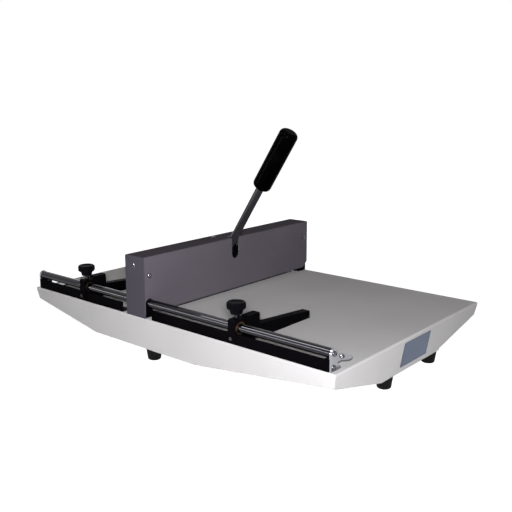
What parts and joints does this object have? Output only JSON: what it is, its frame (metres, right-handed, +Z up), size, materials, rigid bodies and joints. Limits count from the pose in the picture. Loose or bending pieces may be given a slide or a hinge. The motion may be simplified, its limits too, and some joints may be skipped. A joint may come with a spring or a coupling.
{
  "type": "desktop paper creasing machine",
  "caption": "Desktop creasing press: a white folded table on rubber feet, a covered press beam with a hand lever and creasing blade, and paper stops with clamp knobs on a rail.",
  "frame": {"origin": "on the floor below the middle of the bounding box, level with the feet's undersides", "axes": "+X to the right along the front rail, the table's long side; +Y to the back along the press beam; +Z up"},
  "size_m": [0.599, 0.3957, 0.332],
  "materials": {
    "table_paint": "satin white powder coat",
    "cover_paint": "satin purple-grey powder coat",
    "black_paint": "satin black",
    "bare_steel": "ground steel",
    "spring_steel": "drawn wire",
    "blade_steel": "ground and polished",
    "bright_chrome": "polished",
    "nickel_plate": "satin nickel",
    "plated_screws": "zinc plated",
    "bronze": "sintered bronze",
    "foot_rubber": "matte",
    "grip_plastic": "smooth black",
    "knob_plastic": "moulded black"
  },
  "bodies": {
    "frame": {"table_tray": "table_paint", "base_beam": "bare_steel", "creasing_die": "bare_steel", "die_screws": "plated_screws", "front_post": "black_paint", "rear_post": "black_paint", "post_bolts": "plated_screws", "front_shaft_bush": "bronze", "rear_shaft_bush": "bronze", "beam_cover": "cover_paint", "front_end_plate": "cover_paint", "cover_screws": "plated_screws", "lever_stop_block": "black_paint", "front_rail": "bright_chrome", "left_fence_angle": "black_paint", "right_fence_angle": "black_paint", "left_rail_bracket": "nickel_plate", "right_rail_bracket": "nickel_plate", "rail_screws": "plated_screws", "bracket_screws": "plated_screws", "fence_screws": "plated_screws", "foot_front": "foot_rubber", "foot_rear": "foot_rubber", "foot_left_front": "foot_rubber", "foot_left_rear": "foot_rubber", "foot_right_front": "foot_rubber", "foot_right_rear": "foot_rubber", "foot_screws": "plated_screws", "foot_nuts": "plated_screws", "front_guide_pin": "bare_steel", "rear_guide_pin": "bare_steel", "guide_pin_rings": "bare_steel", "front_return_spring": "spring_steel", "rear_return_spring": "spring_steel"},
    "lever": {"rocker_shaft": "bare_steel", "lever_hub": "black_paint", "lever_rod": "bright_chrome", "lever_grip": "grip_plastic", "front_cam": "bare_steel", "rear_cam": "bare_steel", "stop_collar": "bare_steel"},
    "blade": {"pressure_bar": "bare_steel", "creasing_blade": "blade_steel", "blade_screws": "plated_screws", "front_follower_pad": "bare_steel", "rear_follower_pad": "bare_steel"},
    "left_stop": {"left_stop_block": "black_paint", "left_stop_arm": "black_paint", "left_stop_bush": "bronze", "left_stop_screws": "plated_screws"},
    "left_knob": {"left_knob": "knob_plastic", "left_knob_stud": "bright_chrome"},
    "right_stop": {"right_stop_block": "black_paint", "right_stop_arm": "black_paint", "right_stop_bush": "bronze", "right_stop_screws": "plated_screws"},
    "right_knob": {"right_knob": "knob_plastic", "right_knob_stud": "bright_chrome"}
  },
  "joints": [
    {"name": "lever_hinge", "type": "hinge", "parent": "frame", "child": "lever", "pos_m": [-0.046, 0.0004, 0.128], "axis": [0, 1, 0], "range_deg": [0, 50], "stiffness_Nm_per_rad": 0.8, "springref_deg": -37.24},
    {"name": "blade_slide", "type": "slide", "parent": "frame", "child": "blade", "axis": [0, 0, -1], "range_m": [0, 0.0055], "deforming": ["front_return_spring", "rear_return_spring"]},
    {"name": "left_stop_slide", "type": "slide", "parent": "frame", "child": "left_stop", "axis": [1, 0, 0], "range_m": [-0.079, 0.088]},
    {"name": "right_stop_slide", "type": "slide", "parent": "frame", "child": "right_stop", "axis": [1, 0, 0], "range_m": [-0.147, 0.11]},
    {"name": "left_knob_turn", "type": "hinge", "parent": "left_stop", "child": "left_knob", "pos_m": [-0.171, -0.1856, 0.111], "axis": [0, 0, 1], "range_deg": [0, 360]},
    {"name": "right_knob_turn", "type": "hinge", "parent": "right_stop", "child": "right_knob", "pos_m": [0.1405, -0.1856, 0.111], "axis": [0, 0, 1], "range_deg": [0, 360]}
  ],
  "couplings": [
    {"joint": "blade_slide", "follows": "lever_hinge", "m_per_rad": 0.0063025}
  ]
}
